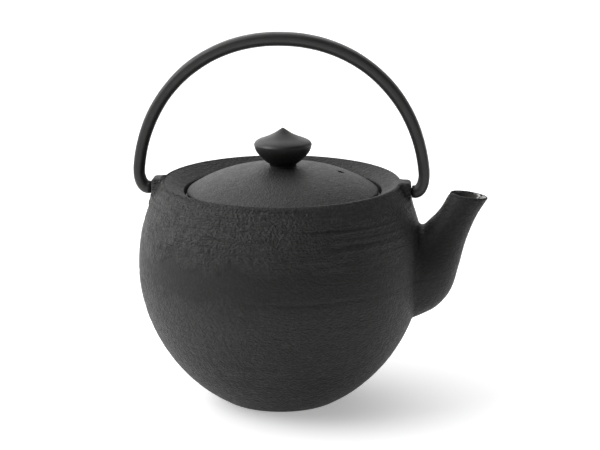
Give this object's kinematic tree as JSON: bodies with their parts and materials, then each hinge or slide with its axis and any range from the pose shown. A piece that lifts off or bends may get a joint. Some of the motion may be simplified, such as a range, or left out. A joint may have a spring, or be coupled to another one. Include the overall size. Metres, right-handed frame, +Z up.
{
  "type": "cast-iron teapot",
  "caption": "Round cast-iron teapot with a fixed spout, a bail handle that swings in two lugs, a domed lid with a pointed knob, and a lift-out mesh strainer.",
  "frame": {"origin": "centre of the flat base, on the surface the pot stands on", "axes": "+X towards the spout, +Z up, +Y completes the frame"},
  "size_m": [0.1763, 0.142, 0.1858],
  "materials": {
    "body_iron": "rough sand-cast charcoal black with fine turned lines, glossy enamel inside",
    "lid_iron": "fine orange-peel charcoal black",
    "knob_iron": "smooth satin black",
    "handle_iron": "smooth satin black",
    "screw_steel": "plain stainless",
    "strainer_steel": "stainless sheet and woven wire"
  },
  "bodies": {
    "pot": {"teapot_body": "body_iron"},
    "handle": {"handle": "handle_iron"},
    "strainer": {"strainer_rim": "strainer_steel", "strainer_mesh": "strainer_steel", "strainer_base": "strainer_steel"},
    "lid": {"lid": "lid_iron", "knob": "knob_iron", "knob_washer": "screw_steel", "knob_screw": "screw_steel"}
  },
  "joints": [
    {"name": "handle_swing", "type": "hinge", "parent": "pot", "child": "handle", "pos_m": [0, 0, 0.1072], "axis": [1, 0, 0], "range_deg": [-102, 102]},
    {"name": "strainer_lift", "type": "slide", "parent": "pot", "child": "strainer", "axis": [0, 0, 1], "range_m": [0, 0.039]},
    {"name": "lid_lift", "type": "slide", "parent": "strainer", "child": "lid", "axis": [0, 0, 1], "range_m": [0, 0.039]}
  ]
}
